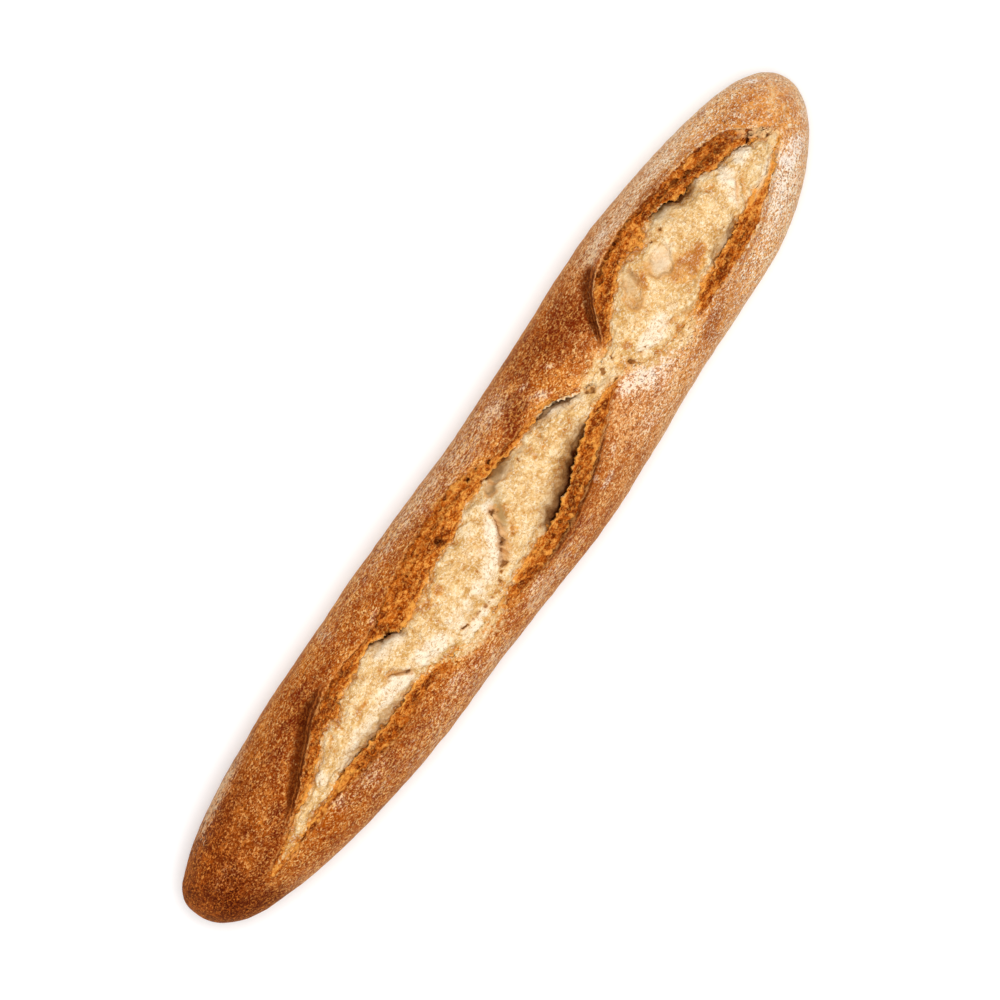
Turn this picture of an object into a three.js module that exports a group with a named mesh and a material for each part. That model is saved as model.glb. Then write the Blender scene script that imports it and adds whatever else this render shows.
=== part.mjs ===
// A short, thick, country-style baguette, baked on a flat stone: one solid piece of bread.
// The crust was slashed four times along its crest. Each slash has torn open in the oven, so that
// the top carries a chain of leaf-shaped mouths with pale crumb in them, rough torn bands beside the
// crumb, and raised flaps of crust that overhang it in places.
//
// Millimetres, +X along the loaf, +Y to its left, +Z up. The base lies on z = 0, and the origin is
// under the middle of the loaf's bounding box.
import * as THREE from 'three';
import { ImprovedNoise } from 'three/addons/math/ImprovedNoise.js';
import { mergeVertices } from 'three/addons/utils/BufferGeometryUtils.js';

const LENGTH = 400; // tip to tip
const WIDTH = 65.6; // across the belly, before the swells
const HEIGHT = 52; // base to the crest of the crust
const BELLY = 0.4 * HEIGHT; // height at which the loaf is widest
const TIP_HEIGHT = 17; // height of the two tips
const FLATNESS = 1.15; // how far the round underside is pressed into the baking stone
const BASE_EDGE = 1.5; // rounding where the underside leaves the stone
const CREST_POWER = 2.2; // 2 is an ellipse, more is a fuller top

// The line midway between the loaf's two sides: it wanders as a hand-shaped loaf does.
const CENTRE_LINE = [
  [-200, 6.4], [-188, 3.8], [-170, 2.8], [-140, 1.2], [-110, 0], [-80, -0.9], [-60, -0.5], [-20, -1.8],
  [12, -3], [50, -1.6], [95, 1.2], [130, 0.8], [155, 0.9], [180, 3], [200, 5.4],
];
// Where each end starts to narrow, and the two powers of its rounding.
const DARK_END = { from: -60, to: -LENGTH / 2, power: 2, blunt: 0.4 };
const PALE_END = { from: 100, to: LENGTH / 2, power: 2.4, blunt: 0.5 };
// Where the sides swell, and where the crest dips between two slashes.
const SWELLS = [{ at: 22, spread: 50, size: 1.3 }, { at: 95, spread: 40, size: 0.5 }];
const DIPS = [{ at: -72, spread: 16, size: 1.2 }, { at: 62, spread: 16, size: 1.6 }];

const LEFT = 1;
const RIGHT = -1;

// The four slashes, from the dark end to the pale end. A mouth line is the edge of the pale crumb,
// and a ridge line is the outer edge of the torn band beside it. The lines of neighbouring slashes
// run on into each other, as the crumb does.
const SLASHES = [
  {
    // A thin tail that opens to a long leaf.
    mouthLeft: [
      [-172, -8.6], [-150, -5.2], [-133, -2.2], [-126, 1.6], [-116, 6.4], [-100, 9.2], [-84, 11.4],
      [-75, 11.6],
    ],
    mouthRight: [[-172, -9.4], [-150, -8.8], [-133, -9.2], [-110, -9.8], [-80, -10]],
    ridgeLeft: [
      [-172, -8.2], [-158, -6], [-146, -1.9], [-135, 2.3], [-125, 6.3], [-112, 12], [-101, 14.8], [-90, 15.6],
      [-80, 15],
    ],
    ridgeRight: [[-172, -10.2], [-150, -11.4], [-130, -12.2], [-110, -16], [-92, -18.2], [-74, -17]],
  },
  {
    // A wide torn band lies along its left side.
    mouthLeft: [
      [-67, 8.4], [-64, 5], [-60, 4], [-55.5, 4], [-52, 6.4], [-44, 9], [-24, 11.6], [-10, 12.6],
    ],
    mouthRight: [[-68, -13], [-56, -18], [-40, -20.4], [-24, -20], [-8, -19]],
    ridgeLeft: [[-70, 14.4], [-56, 17.8], [-38, 20.6], [-18, 22], [0, 20.2]],
    ridgeRight: [[-60, -18.8], [-44, -21.8], [-26, -24.4], [-8, -26.2]],
  },
  {
    // The deepest one, which narrows to a neck.
    mouthLeft: [[0, 11], [14, 9.4], [32, 9.6], [40, 8.6], [47, 5.4], [52, 1.4], [62, 0.2]],
    mouthRight: [[8, -19], [22, -16.4], [36, -11.4], [48, -6.6], [60, -6.6]],
    ridgeLeft: [[12, 14.4], [24, 12], [34, 11], [42, 9.6], [48, 6.4], [54, 2.2], [64, 1]],
    ridgeRight: [[10, -25.2], [28, -21.2], [46, -14.8], [62, -9]],
  },
  {
    // The widest one, under the tallest flap.
    mouthLeft: [
      [72, 2.2], [84, 9.6], [98, 15.6], [106, 17.4], [113, 14.6], [121, 17.6], [131, 18.2], [142, 13],
      [152, 11.8], [164, 7.4], [172, 3], [181, -3],
    ],
    mouthRight: [
      [72, -8.8], [80, -14.4], [94, -16.8], [104, -17], [112, -13.6], [134, -11.2], [156, -8.6],
      [170, -7], [181, -4],
    ],
    ridgeLeft: [
      [73, 4.4], [80, 12.6], [88, 20], [98, 24.6], [110, 26.2], [124, 25.4], [138, 22], [152, 20],
      [162, 16.6], [170, 11], [176, 4.6], [182, -2.6],
    ],
    ridgeRight: [
      [74, -10.4], [84, -17.4], [104, -19.4], [124, -20], [142, -18.4], [158, -13.6], [172, -8.6],
      [182, -4.6],
    ],
  },
];
const joined = (line) => SLASHES.flatMap((slash) => slash[line]);
const MOUTH = { [LEFT]: joined('mouthLeft'), [RIGHT]: joined('mouthRight') };
const RIDGE = { [LEFT]: joined('ridgeLeft'), [RIGHT]: joined('ridgeRight') };
const CUT = { from: MOUTH[LEFT][0][0], to: MOUTH[LEFT].at(-1)[0] }; // the slashed length
const CUT_CLOSES_OVER = 3; // length over which the slashes end beyond it

// Stretches of the lips that differ from the rest, each between two places along X.
// A flap stands up at its ridge line.
const FLAPS = [
  { side: LEFT, from: -160, to: -78, size: 2.4 },
  { side: LEFT, from: -68, to: 10, size: 1.6 },
  { side: LEFT, from: 26, to: 58, size: 1.2 },
  { side: LEFT, from: 72, to: 180, size: 3.6 },
  { side: RIGHT, from: -140, to: -66, size: 1.1 },
  { side: RIGHT, from: -34, to: 64, size: 2.4 },
  { side: RIGHT, from: 102, to: 176, size: 1.5 },
];
// A valley is a fold in the crust just outside a flap.
const VALLEYS = [
  { side: LEFT, from: -146, to: -90, size: 3.4 },
  { side: LEFT, from: 62, to: 112, size: 5.2 },
  { side: RIGHT, from: -136, to: -70, size: 0.9 },
  { side: RIGHT, from: -30, to: 60, size: 1.3 },
  { side: RIGHT, from: 108, to: 174, size: 0.9 },
];
// A pocket is a deep, dark place under a lip, which overhangs it.
const POCKETS = [
  { side: LEFT, from: -86, to: -60, size: 5 },
  { side: LEFT, from: 2, to: 20, size: 3 },
  { side: LEFT, from: 29, to: 57, size: 5 },
  { side: LEFT, from: 114, to: 148, size: 8 },
  { side: LEFT, from: 142, to: 178, size: 2 },
  { side: RIGHT, from: -132, to: -72, size: 2.4 },
  { side: RIGHT, from: -12, to: 54, size: 8 },
  { side: RIGHT, from: 120, to: 146, size: 2.6 },
];
// Along a soft edge the crumb runs out into the crust without a lip.
const SOFT_EDGES = [
  { side: LEFT, from: 46, to: 78, size: 1 },
  { side: RIGHT, from: -76, to: -16, size: 1 },
  { side: RIGHT, from: 54, to: 118, size: 1 },
];

const VALLEY_WIDTH = 8.5; // from a ridge line out to undisturbed crust
const VALLEY_LEAN = 1.45; // 1 is an even valley, more is steeper towards the flap
const TORN_BOW = 1.3; // 1 is a straight torn face from ridge to mouth, more is a bulging one
const LIP_DROP = 1.6; // from the crust's level down to the inner edge of a torn band
const CRUMB_STEP = 0.5; // from there down to the crumb, away from the pockets
const LIP_REACH = 2.2; // how far out from a lip the crumb comes back up
const POCKET_REACH = 0.45; // and how much further for each millimetre of a pocket's depth
const CRUMB_SLOPE = 1.6; // power of the crumb's fall towards a lip
const UNDERCUT = 0.4; // how far a lip overhangs, as a share of its pocket's depth
const CRUMB_CROWN = 1.2; // how far the crumb bulges along the middle of a mouth
const OPEN_WIDTH = 12; // a mouth this wide has its full depth
const THINNEST_BAND = 0.8; // of torn crust, where a mouth line and a ridge line meet
const SIDE_LIMIT = 0.93; // no fold reaches further out than this share of the half width
const TIP_SPREAD = { mouth: 0.3, ridge: 0.45 }; // where the lines end on a tip, as shares of its half width
const TIP_SPREAD_OVER = 18; // length over which they spread out to there

// Torn edges wander and torn faces are craggy. Each is how far, and over what length.
const RAGGED_MOUTH = { size: 1.1, length: 7 };
const RAGGED_RIDGE = { size: 0.7, length: 9 };
const TORN_CRAGS = { size: 1.3, length: 6 };
const CRUMB_LOBES = { size: 1.1, length: 10 };

// Burst bubbles in the crumb, each a leaning oval with a flat floor.
const HOLLOWS = [
  { x: 112.5, y: 5, long: 7.2, wide: 6, lean: 0.5, depth: 2.4 },
  { x: 97, y: 7.5, long: 8.5, wide: 4.2, lean: 0.8, depth: 2.4 },
  { x: 9.5, y: 8.6, long: 6, wide: 3.2, lean: -0.15, depth: 2.4 },
  { x: 56.5, y: -1.6, long: 4.4, wide: 3, lean: -0.5, depth: 2 },
];
// A seam is where the crumb of one slash folds down against the next one's.
const SEAMS = [
  { line: [[-26, -14.4], [-16.5, -10.2], [-8.6, -2.4], [-5, 2.4], [-1, 7]], width: 2.8, depth: 3.4 },
  { line: [[-83, -0.8], [-79, -2.6], [-76.5, -4.6], [-72, -9]], width: 2, depth: 2.2 },
];

// How many facets each part of a cross-section has, how many sections there are, and other shares.
const BASE_FACETS = 6;
const SIDE_FACETS = 4;
const VALLEY_FACETS = 4;
const TORN_FACETS = 3;
const CRUMB_FACETS = 10;
const SECTIONS = 124;
const END_SHARE = 0.14; // share of the sections that crowd into the two ends
const STRETCH_END = 0.35; // share of a stretch over which it fades in, and out again
const LEAST_HALF = 1e-6; // half width at the very tips

const { clamp, lerp, smoothstep } = THREE.MathUtils;
const noise = new ImprovedNoise();

// A smooth random wander over a place, from about -size to size. Each lane is another wander.
const wander = ({ size, length }, x, y, lane) => size * noise.noise(x / length, y / length, lane);

// The height at x of a smooth line through points in rising order of x, level past its ends.
function lineAt(points, x) {
  const last = points.length - 1;
  const at = clamp(x, points[0][0], points[last][0]);
  const slope = (i) => {
    const [before, after] = [points[Math.max(i - 1, 0)], points[Math.min(i + 1, last)]];
    return (after[1] - before[1]) / (after[0] - before[0]);
  };
  const i = clamp(points.findIndex((p) => p[0] >= at) - 1, 0, last - 1);
  const [[x0, y0], [x1, y1]] = [points[i], points[i + 1]];
  const span = x1 - x0;
  const t = (at - x0) / span;
  return (
    y0 * (1 + 2 * t) * (1 - t) ** 2 +
    slope(i) * span * t * (1 - t) ** 2 +
    y1 * t ** 2 * (3 - 2 * t) +
    slope(i + 1) * span * t ** 2 * (t - 1)
  );
}

// 0 outside a stretch, 1 along its middle, with soft ends.
function along({ from, to }, x) {
  const t = (x - from) / (to - from);
  return smoothstep(t, 0, STRETCH_END) * smoothstep(1 - t, 0, STRETCH_END);
}

const total = (stretches, side, x) =>
  stretches.filter((s) => s.side === side).reduce((sum, s) => sum + s.size * along(s, x), 0);

// 1 along the loaf, falling in a round curve to 0 at the tip.
function narrowing({ from, to, power, blunt }, x) {
  const t = clamp((x - from) / (to - from), 0, 1);
  return (1 - t ** power) ** blunt;
}

const humps = (list, x) =>
  list.reduce((sum, { at, spread, size }) => sum + size * Math.exp(-(((x - at) / spread) ** 2)), 0);

// The loaf's own measures at x, as if it had never been slashed.
function bodyAt(x) {
  const taper = narrowing(DARK_END, x) * narrowing(PALE_END, x);
  const belly = lerp(TIP_HEIGHT, BELLY, taper);
  return {
    centre: lineAt(CENTRE_LINE, x),
    half: Math.max((WIDTH / 2 + humps(SWELLS, x)) * taper, LEAST_HALF),
    belly,
    rise: (HEIGHT - BELLY - humps(DIPS, x)) * taper,
    fall: belly * FLATNESS * Math.sqrt(taper),
  };
}

// The level of the unbroken crust over y.
function crustLevel(body, y) {
  const out = Math.min(Math.abs(y - body.centre) / body.half, 1);
  return body.belly + body.rise * Math.sqrt(1 - out ** CREST_POWER);
}

// The underside at an angle below the belly: round, pressed flat where it meets the stone.
function undersideLevel(body, angle) {
  const z = body.belly - body.fall * Math.sin(angle);
  if (z > BASE_EDGE) return z;
  return z < -BASE_EDGE ? 0 : (z + BASE_EDGE) ** 2 / (4 * BASE_EDGE);
}

// A line of the slashes at x, as a distance from the loaf's middle plane. Past the ends of the
// slashes it spreads out over the tip.
function slashLine(kind, side, x, body) {
  const points = (kind === 'mouth' ? MOUTH : RIDGE)[side];
  const at = clamp(x, points[0][0], points[points.length - 1][0]);
  const there = at === x ? body : bodyAt(at);
  const cut = (lineAt(points, at) - there.centre) / there.half;
  const share = lerp(cut, side * TIP_SPREAD[kind], smoothstep(Math.abs(x - at), 0, TIP_SPREAD_OVER));
  return body.centre + body.half * clamp(share, -SIDE_LIMIT, SIDE_LIMIT);
}

// What one side of the slashes measures at x.
function lipAt(x, side, body, openness) {
  const mouth = slashLine('mouth', side, x, body);
  const band = Math.max(side * (slashLine('ridge', side, x, body) - mouth), THINNEST_BAND * openness);
  const firm = 1 - total(SOFT_EDGES, side, x);
  const pocket = total(POCKETS, side, x) * openness;
  const drop = LIP_DROP * openness * firm;
  const edge = mouth + wander(RAGGED_MOUTH, x, 0, side) * openness;
  return {
    mouth: edge,
    ridge: mouth + side * band + wander(RAGGED_RIDGE, x, 0, 3 * side) * openness,
    flap: total(FLAPS, side, x) * firm,
    valley: total(VALLEYS, side, x),
    drop,
    floor: edge + side * UNDERCUT * pocket,
    sunk: drop + CRUMB_STEP * openness * firm + pocket,
    reach: LIP_REACH + POCKET_REACH * pocket,
  };
}

// One side of a cross-section, from under the middle of the loaf up to the edge of the crumb.
function sideOutline(x, side, body, lip, openness) {
  const limit = side * body.centre + SIDE_LIMIT * body.half;
  const outer = side * Math.min(side * lip.ridge + VALLEY_WIDTH, limit);
  const points = [];

  for (let i = 0; i <= BASE_FACETS; i++) {
    const angle = (Math.PI / 2) * (1 - i / BASE_FACETS);
    points.push([body.centre + side * body.half * Math.cos(angle), undersideLevel(body, angle)]);
  }
  const outerAngle = Math.acos(clamp((side * (outer - body.centre)) / body.half, -1, 1));
  for (let i = 1; i <= SIDE_FACETS; i++) {
    const y = body.centre + side * body.half * Math.cos((outerAngle * i) / SIDE_FACETS);
    points.push([y, crustLevel(body, y)]);
  }
  for (let i = 1; i <= VALLEY_FACETS; i++) {
    const f = i / VALLEY_FACETS;
    const y = lerp(outer, lip.ridge, f);
    const fold = lip.flap * f ** 2 * (3 - 2 * f) - lip.valley * Math.sin(Math.PI * f ** VALLEY_LEAN) ** 2;
    points.push([y, crustLevel(body, y) + fold]);
  }
  for (let i = 1; i <= TORN_FACETS; i++) {
    const f = i / TORN_FACETS;
    const y = lerp(lip.ridge, lip.mouth, f);
    const crags = wander(TORN_CRAGS, x, y, 0) * openness;
    points.push([y, crustLevel(body, y) + lerp(lip.flap, -lip.drop, f ** TORN_BOW) + crags]);
  }
  points.push([lip.floor, crustLevel(body, lip.mouth) - lip.sunk]);
  return points;
}

function hollowDepth(x, y) {
  return HOLLOWS.reduce((deepest, { x: cx, y: cy, long, wide, lean, depth }) => {
    const [dx, dy] = [x - cx, y - cy];
    const u = (dx * Math.cos(lean) + dy * Math.sin(lean)) / long;
    const v = (dy * Math.cos(lean) - dx * Math.sin(lean)) / wide;
    return Math.max(deepest, depth * (1 - smoothstep(Math.hypot(u, v), 0.5, 1)));
  }, 0);
}

function seamDepth(x, y) {
  return SEAMS.reduce((deepest, { line, width, depth }) => {
    const [from, to] = [line[0][0], line[line.length - 1][0]];
    const slope = lineAt(line, x + 0.5) - lineAt(line, x - 0.5);
    const off = (lineAt(line, x) - y) / Math.hypot(1, slope);
    return Math.max(deepest, depth * Math.exp(-((off / width) ** 2)) * along({ from, to }, x));
  }, 0);
}

// How far the crumb hangs below the crust's level where it meets a lip, at a distance from it.
const sagBy = (lip, distance) => lip.sunk * Math.exp(-((Math.max(distance, 0) / lip.reach) ** CRUMB_SLOPE));

// The whole cross-section at x: left side, crumb, right side, closed under the loaf.
function sectionAt(x) {
  const body = bodyAt(x);
  const gape = slashLine('mouth', LEFT, x, body) - slashLine('mouth', RIGHT, x, body);
  const past = Math.max(CUT.from - x, x - CUT.to);
  const openness = smoothstep(gape, 0, OPEN_WIDTH) * (1 - smoothstep(past, 0, CUT_CLOSES_OVER));
  const left = lipAt(x, LEFT, body, openness);
  const right = lipAt(x, RIGHT, body, openness);
  const crumb = [];
  for (let i = 1; i < CRUMB_FACETS; i++) {
    const f = i / CRUMB_FACETS;
    const y = lerp(left.floor, right.floor, f);
    const sag = Math.hypot(sagBy(left, left.floor - y), sagBy(right, y - right.floor));
    const bulge = (CRUMB_CROWN * 4 * f * (1 - f) + wander(CRUMB_LOBES, x, y, 0)) * openness;
    crumb.push([y, crustLevel(body, y) - sag + bulge - (hollowDepth(x, y) + seamDepth(x, y)) * openness]);
  }
  return [
    ...sideOutline(x, LEFT, body, left, openness),
    ...crumb,
    ...sideOutline(x, RIGHT, body, right, openness).reverse(),
  ];
}

// The place along X of the section at share s of the loaf, from -1 to 1: even along the middle, and
// crowding towards each tip so that it comes out round.
function station(s) {
  const plain = 1 - END_SHARE;
  const evenEnd = (2 * plain) / (1 + plain);
  const far = Math.abs(s);
  const past = (far - plain) / END_SHARE;
  const share = far < plain ? (far / plain) * evenEnd : 1 - (1 - evenEnd) * (1 - past) ** 2;
  return Math.sign(s) * share * (LENGTH / 2);
}

// A ball whose meridians and parallels are moved onto the loaf's sections.
function loafGeometry() {
  const facets = sectionAt(0).length - 1;
  const ball = new THREE.SphereGeometry(1, facets, SECTIONS);
  const position = ball.getAttribute('position');
  for (let row = 0; row <= SECTIONS; row++) {
    const x = station(1 - (2 * row) / SECTIONS);
    sectionAt(x).forEach(([y, z], column) => position.setXYZ(row * (facets + 1) + column, x, y, z));
  }
  ball.deleteAttribute('normal');
  ball.deleteAttribute('uv');
  const loaf = mergeVertices(ball, 1e-3);
  loaf.computeVertexNormals();
  loaf.computeBoundingBox();
  const middle = loaf.boundingBox.getCenter(new THREE.Vector3());
  loaf.translate(-middle.x, -middle.y, -loaf.boundingBox.min.z);
  return loaf;
}

const crust = new THREE.MeshStandardMaterial({ color: '#b9713a', roughness: 0.75, metalness: 0 });
const baguette = new THREE.Mesh(loafGeometry(), crust);
baguette.name = 'baguette';

const group = new THREE.Group();
group.add(baguette);

export default group;
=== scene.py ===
import bmesh
import bpy
import math
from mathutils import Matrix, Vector, noise


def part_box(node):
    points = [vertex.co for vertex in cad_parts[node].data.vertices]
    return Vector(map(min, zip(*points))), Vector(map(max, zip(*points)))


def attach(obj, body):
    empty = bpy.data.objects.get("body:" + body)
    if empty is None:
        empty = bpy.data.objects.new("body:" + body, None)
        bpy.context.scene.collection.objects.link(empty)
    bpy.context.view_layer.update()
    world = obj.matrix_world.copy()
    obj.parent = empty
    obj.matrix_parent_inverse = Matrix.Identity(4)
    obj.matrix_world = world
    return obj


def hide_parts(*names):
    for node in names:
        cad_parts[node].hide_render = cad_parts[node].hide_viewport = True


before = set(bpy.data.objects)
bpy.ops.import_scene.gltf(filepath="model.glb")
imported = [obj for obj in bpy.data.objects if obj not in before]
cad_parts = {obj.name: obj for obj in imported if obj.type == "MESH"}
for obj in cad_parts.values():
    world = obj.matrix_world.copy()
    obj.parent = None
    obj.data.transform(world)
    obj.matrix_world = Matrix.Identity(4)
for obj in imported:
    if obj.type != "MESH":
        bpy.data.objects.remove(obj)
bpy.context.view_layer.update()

# ---------------------------------------------------------------------------------------------
# The shaped dough: a short, thick stick of white dough, rolled by hand and proved on a floured
# cloth. It wanders a little, tapers to two blunt ends, and lies flat where it met the stone.
# ---------------------------------------------------------------------------------------------
MM = 0.001
low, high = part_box("baguette")
LENGTH = (high.x - low.x) / MM
WIDTH = 0.164 * LENGTH
HEIGHT = 0.13 * LENGTH
BELLY = 0.4 * HEIGHT
TIP_HEIGHT = 17
FLATNESS = 1.15
BASE_EDGE = 1.5
CREST_POWER = 2.2
CENTRE_LINE = [
    (-200, 6.4), (-188, 3.8), (-170, 2.8), (-140, 1.2), (-110, 0), (-80, -0.9), (-60, -0.5), (-20, -1.8),
    (12, -3), (50, -1.6), (95, 1.2), (130, 0.8), (155, 0.9), (180, 3), (200, 5.4),
]
DARK_END = dict(start=-60, tip=-LENGTH / 2, power=2, blunt=0.4)
PALE_END = dict(start=100, tip=LENGTH / 2, power=2.4, blunt=0.5)
SWELLS = [dict(at=22, spread=50, size=1.3), dict(at=95, spread=40, size=0.5)]
DIPS = [dict(at=-72, spread=16, size=1.2), dict(at=62, spread=16, size=1.6)]


def clamp(value, least, most):
    return max(least, min(most, value))


def blend(a, b, share):
    return a + (b - a) * share


def soft_step(value, start, end):
    t = clamp((value - start) / (end - start), 0, 1)
    return t * t * (3 - 2 * t)


def fading(distance, reach, power=2):
    """1 at no distance, about a third at the reach, and 0 far off."""
    return math.exp(-((distance / reach) ** power))


def line_at(points, x):
    """The height at x of a smooth line through points in rising order of x, level past its ends."""
    last = len(points) - 1
    at = clamp(x, points[0][0], points[last][0])
    i = clamp(next((k for k, p in enumerate(points) if p[0] >= at), last) - 1, 0, last - 1)

    def slope(k):
        before, after = points[max(k - 1, 0)], points[min(k + 1, last)]
        return (after[1] - before[1]) / (after[0] - before[0])

    (x0, y0), (x1, y1) = points[i], points[i + 1]
    span = x1 - x0
    t = (at - x0) / span
    return (
        y0 * (1 + 2 * t) * (1 - t) ** 2
        + slope(i) * span * t * (1 - t) ** 2
        + y1 * t ** 2 * (3 - 2 * t)
        + slope(i + 1) * span * t ** 2 * (t - 1)
    )


def humps(places, x):
    return sum(p["size"] * fading(x - p["at"], p["spread"]) for p in places)


def narrowing(end, x):
    t = clamp((x - end["start"]) / (end["tip"] - end["start"]), 0, 1)
    return (1 - t ** end["power"]) ** end["blunt"]


class Body:
    """The uncut dough's own measures at one place along its length."""

    def __init__(self, x):
        taper = narrowing(DARK_END, x) * narrowing(PALE_END, x)
        self.centre = line_at(CENTRE_LINE, x)
        self.half = max((WIDTH / 2 + humps(SWELLS, x)) * taper, 1e-6)
        self.belly = blend(TIP_HEIGHT, BELLY, taper)
        self.rise = (HEIGHT - BELLY - humps(DIPS, x)) * taper
        self.fall = self.belly * FLATNESS * math.sqrt(taper)

    def crust_level(self, y):
        out = min(abs(y - self.centre) / self.half, 1)
        return self.belly + self.rise * math.sqrt(1 - out ** CREST_POWER)

    def underside_level(self, angle):
        z = self.belly - self.fall * math.sin(angle)
        if z > BASE_EDGE:
            return z
        return 0 if z < -BASE_EDGE else (z + BASE_EDGE) ** 2 / (4 * BASE_EDGE)


# ---------------------------------------------------------------------------------------------
# The slashes: four slanting cuts along the crest that tore open in the oven. Mouth lines edge the
# pale crumb, and ridge lines edge the torn bands beside it, where the crust stands up in flaps. It
# folds down to valleys outside the flaps, and overhangs pockets at the mouth.
# ---------------------------------------------------------------------------------------------
LEFT, RIGHT = 1, -1
SLASHES = [
    dict(
        mouth_left=[
            (-172, -8.6), (-166, -7.8), (-158, -6.8), (-150, -4.4), (-133, -1.2), (-126, 1.2), (-119, 3.4),
            (-112, 6.8), (-104, 6.6), (-96, 9.6), (-88, 9.8), (-80, 11.6), (-75, 11.4),
        ],
        mouth_right=[
            (-172, -9.4), (-166, -9.8), (-150, -9.6), (-133, -9.4), (-120, -8.6), (-110, -9.8),
            (-103, -10.4), (-95, -11.4), (-80, -11.8),
        ],
        ridge_left=[
            (-172, -7.2), (-158, -5.6), (-146, -2.4), (-135, 1.4), (-125, 6), (-112, 12), (-101, 14.8),
            (-90, 15.6), (-80, 15),
        ],
        ridge_right=[(-172, -10.2), (-150, -11.8), (-130, -12.6), (-110, -16), (-92, -18.2), (-74, -17)],
    ),
    dict(
        mouth_left=[
            (-67, 8.4), (-64, 6), (-60, 4.8), (-54, 5), (-48, 6.4), (-42, 7.4), (-36, 8.7), (-25, 8.8),
            (-18, 9.8), (-10, 12.2),
        ],
        mouth_right=[(-68, -13), (-56, -18), (-40, -20.4), (-24, -20), (-8, -19)],
        ridge_left=[(-70, 14.4), (-56, 17.8), (-38, 20.6), (-18, 22), (0, 20.2)],
        ridge_right=[(-60, -18.8), (-44, -21.8), (-26, -24.4), (-8, -26.2)],
    ),
    dict(
        mouth_left=[(0, 11.8), (9, 11.4), (18, 10), (32, 9.6), (40, 8.6), (47, 5.4), (52, 1.4), (62, 0.2)],
        mouth_right=[(8, -18.8), (20, -16), (30, -12.8), (38, -9.8), (44, -7.8), (50, -6.4), (60, -6.6)],
        ridge_left=[(12, 14.4), (24, 12), (34, 11), (42, 9.6), (48, 6.4), (54, 2.2), (64, 1)],
        ridge_right=[(10, -25.2), (28, -21.2), (46, -14.8), (62, -9)],
    ),
    dict(
        mouth_left=[
            (72, 2.2), (84, 9), (90, 11.6), (94, 13.8), (100, 16.2), (106, 17), (113, 14.6), (121, 18),
            (130, 17.4), (138, 13.2), (146, 12), (154, 9.4), (162, 7.2), (170, 2.8), (181, -3),
        ],
        mouth_right=[
            (72, -8.8), (80, -14.4), (94, -16.8), (104, -17), (112, -13.6), (124, -12.4), (134, -11.4),
            (145, -10.2), (157, -9), (170, -7), (181, -4),
        ],
        ridge_left=[
            (73, 4.4), (80, 12.6), (88, 19.6), (98, 23.8), (110, 25), (124, 24.4), (138, 22.2), (152, 19.8),
            (162, 17), (170, 12), (176, 4.8), (182, -2.6),
        ],
        ridge_right=[
            (74, -10.4), (84, -17.4), (104, -19.4), (124, -20), (142, -18.4), (158, -13.6), (172, -8.6),
            (182, -4.6),
        ],
    ),
]
LINES = {
    (kind, side): sum((slash[f"{kind}_{name}"] for slash in SLASHES), [])
    for kind in ("mouth", "ridge") for side, name in ((LEFT, "left"), (RIGHT, "right"))
}
CUT_START, CUT_END = -172, 181
# Stretches along one side, each with its start, end and size: raised flaps, valleys outside them,
# pockets under the lip, and soft edges where the crumb runs into the crust without a lip. The sizes of
# valleys and pockets also set how much painted shade they get.
FLAPS = [
    (LEFT, -160, -78, 2.4), (LEFT, -68, 10, 1.6), (LEFT, 26, 58, 1.2), (LEFT, 72, 180, 3.6),
    (RIGHT, -140, -66, 1.1), (RIGHT, -34, 64, 2.4), (RIGHT, 102, 176, 1.5),
]
VALLEYS = [
    (LEFT, -168, -88, 2), (LEFT, -150, -93, 3.2), (LEFT, 68, 100, 4.8), (LEFT, -60, 6, 0.7),
    (LEFT, 108, 172, 0.9), (RIGHT, -136, -70, 0.9), (RIGHT, -30, 60, 1.3), (RIGHT, 108, 174, 0.9),
]
POCKETS = [
    (LEFT, -80, -59, 5), (LEFT, 0, 20, 3.4), (LEFT, 29, 57, 5), (LEFT, 40, 54, 2), (LEFT, 121, 149, 6.5),
    (LEFT, 142, 178, 2), (RIGHT, -132, -72, 2.2), (RIGHT, -4, 37, 8), (RIGHT, 22, 48, 5.5),
    (RIGHT, 120, 146, 2.6),
]
SOFT_EDGES = [(LEFT, 46, 78, 1), (RIGHT, -76, -16, 1), (RIGHT, 54, 118, 1)]
VALLEY_WIDTH = 8.5
LIP_DROP = 1.6
CRUMB_STEP = 0.5
LIP_REACH = 2.2
POCKET_REACH = 0.45
UNDERCUT = 0.4
CRUMB_CROWN = 1.2
OPEN_WIDTH = 12
THINNEST_BAND = 0.8
SIDE_LIMIT = 0.93
TIP_SPREAD = {"mouth": 0.3, "ridge": 0.45}
TIP_SPREAD_OVER = 18
RAGGED_MOUTH = 0.8
RAGGED_RIDGE = 0.4
CRAG_LENGTH, FRAY_LENGTH, CALM_LENGTH = 5, 1.6, 8
SOFT_ENDS = 0.35
SPOT_MARGIN = 3
# Where the mouth and the torn bands come to an end, in millimetres past the first or last point.
MOUTH_CLOSES = (0, 2)
TEARING_STOPS = (-6, 2)


def along(start, end, x):
    """0 outside a stretch and 1 along its middle, with soft ends."""
    t = (x - start) / (end - start)
    return soft_step(t, 0, SOFT_ENDS) * soft_step(1 - t, 0, SOFT_ENDS)


def total(stretches, side, x):
    return sum(size * along(start, end, x) for s, start, end, size in stretches if s == side)


def noise_at(*place):
    return noise.noise(Vector(place))


def ragged(x, lane):
    """A torn edge's wander, from -1 to 1, in crags a few millimetres long and calm in places."""
    coarse = noise_at(x / CRAG_LENGTH, lane, 0.5)
    fine = noise_at(x / FRAY_LENGTH, lane, 7.5)
    calm = 0.25 + 1.5 * abs(noise_at(x / CALM_LENGTH, lane, 3.5))
    return coarse + 1.1 * fine * calm


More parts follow.
